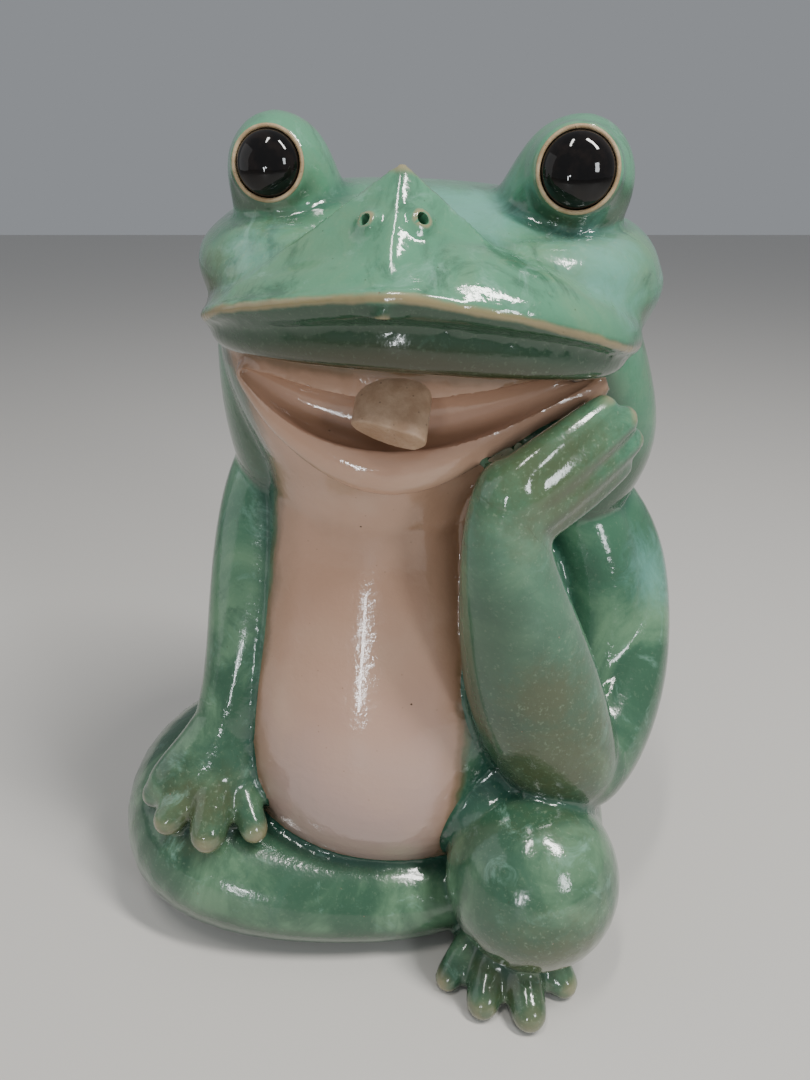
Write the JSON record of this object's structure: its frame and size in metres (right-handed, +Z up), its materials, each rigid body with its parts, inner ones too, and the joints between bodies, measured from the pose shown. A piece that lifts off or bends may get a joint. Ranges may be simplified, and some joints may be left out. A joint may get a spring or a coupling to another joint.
{
  "type": "seated ceramic frog ornament",
  "caption": "Seated glazed ceramic frog with its cheek resting on one hand, an open smiling mouth and raised domed eyes.",
  "frame": {"origin": "middle of the bounding box on the floor plane the ornament stands on", "axes": "+Z up; the frog's belly faces -Y; its left side is +X"},
  "size_m": [0.194, 0.1472, 0.2599],
  "materials": {
    "green_glaze": "glossy celadon glaze, mottled, breaking to tan on edges",
    "pink_glaze": "glossy pinkish beige glaze over buff clay",
    "black_glaze": "mirror gloss black glaze",
    "bare_clay": "thin brownish glaze over buff clay, partly dry"
  },
  "bodies": {
    "root": {"torso_front": "pink_glaze", "torso_back": "green_glaze", "lower_jaw": "pink_glaze", "nape": "green_glaze", "head": "green_glaze", "tongue": "bare_clay", "right_eye_turret": "green_glaze", "left_eye_turret": "green_glaze", "right_eye": "black_glaze", "left_eye": "black_glaze", "right_leg": "green_glaze", "left_leg": "green_glaze", "left_foot": "green_glaze", "right_arm": "green_glaze", "right_hand": "green_glaze", "left_upper_arm": "green_glaze", "left_forearm": "green_glaze", "left_hand": "green_glaze"}
  },
  "joints": []
}
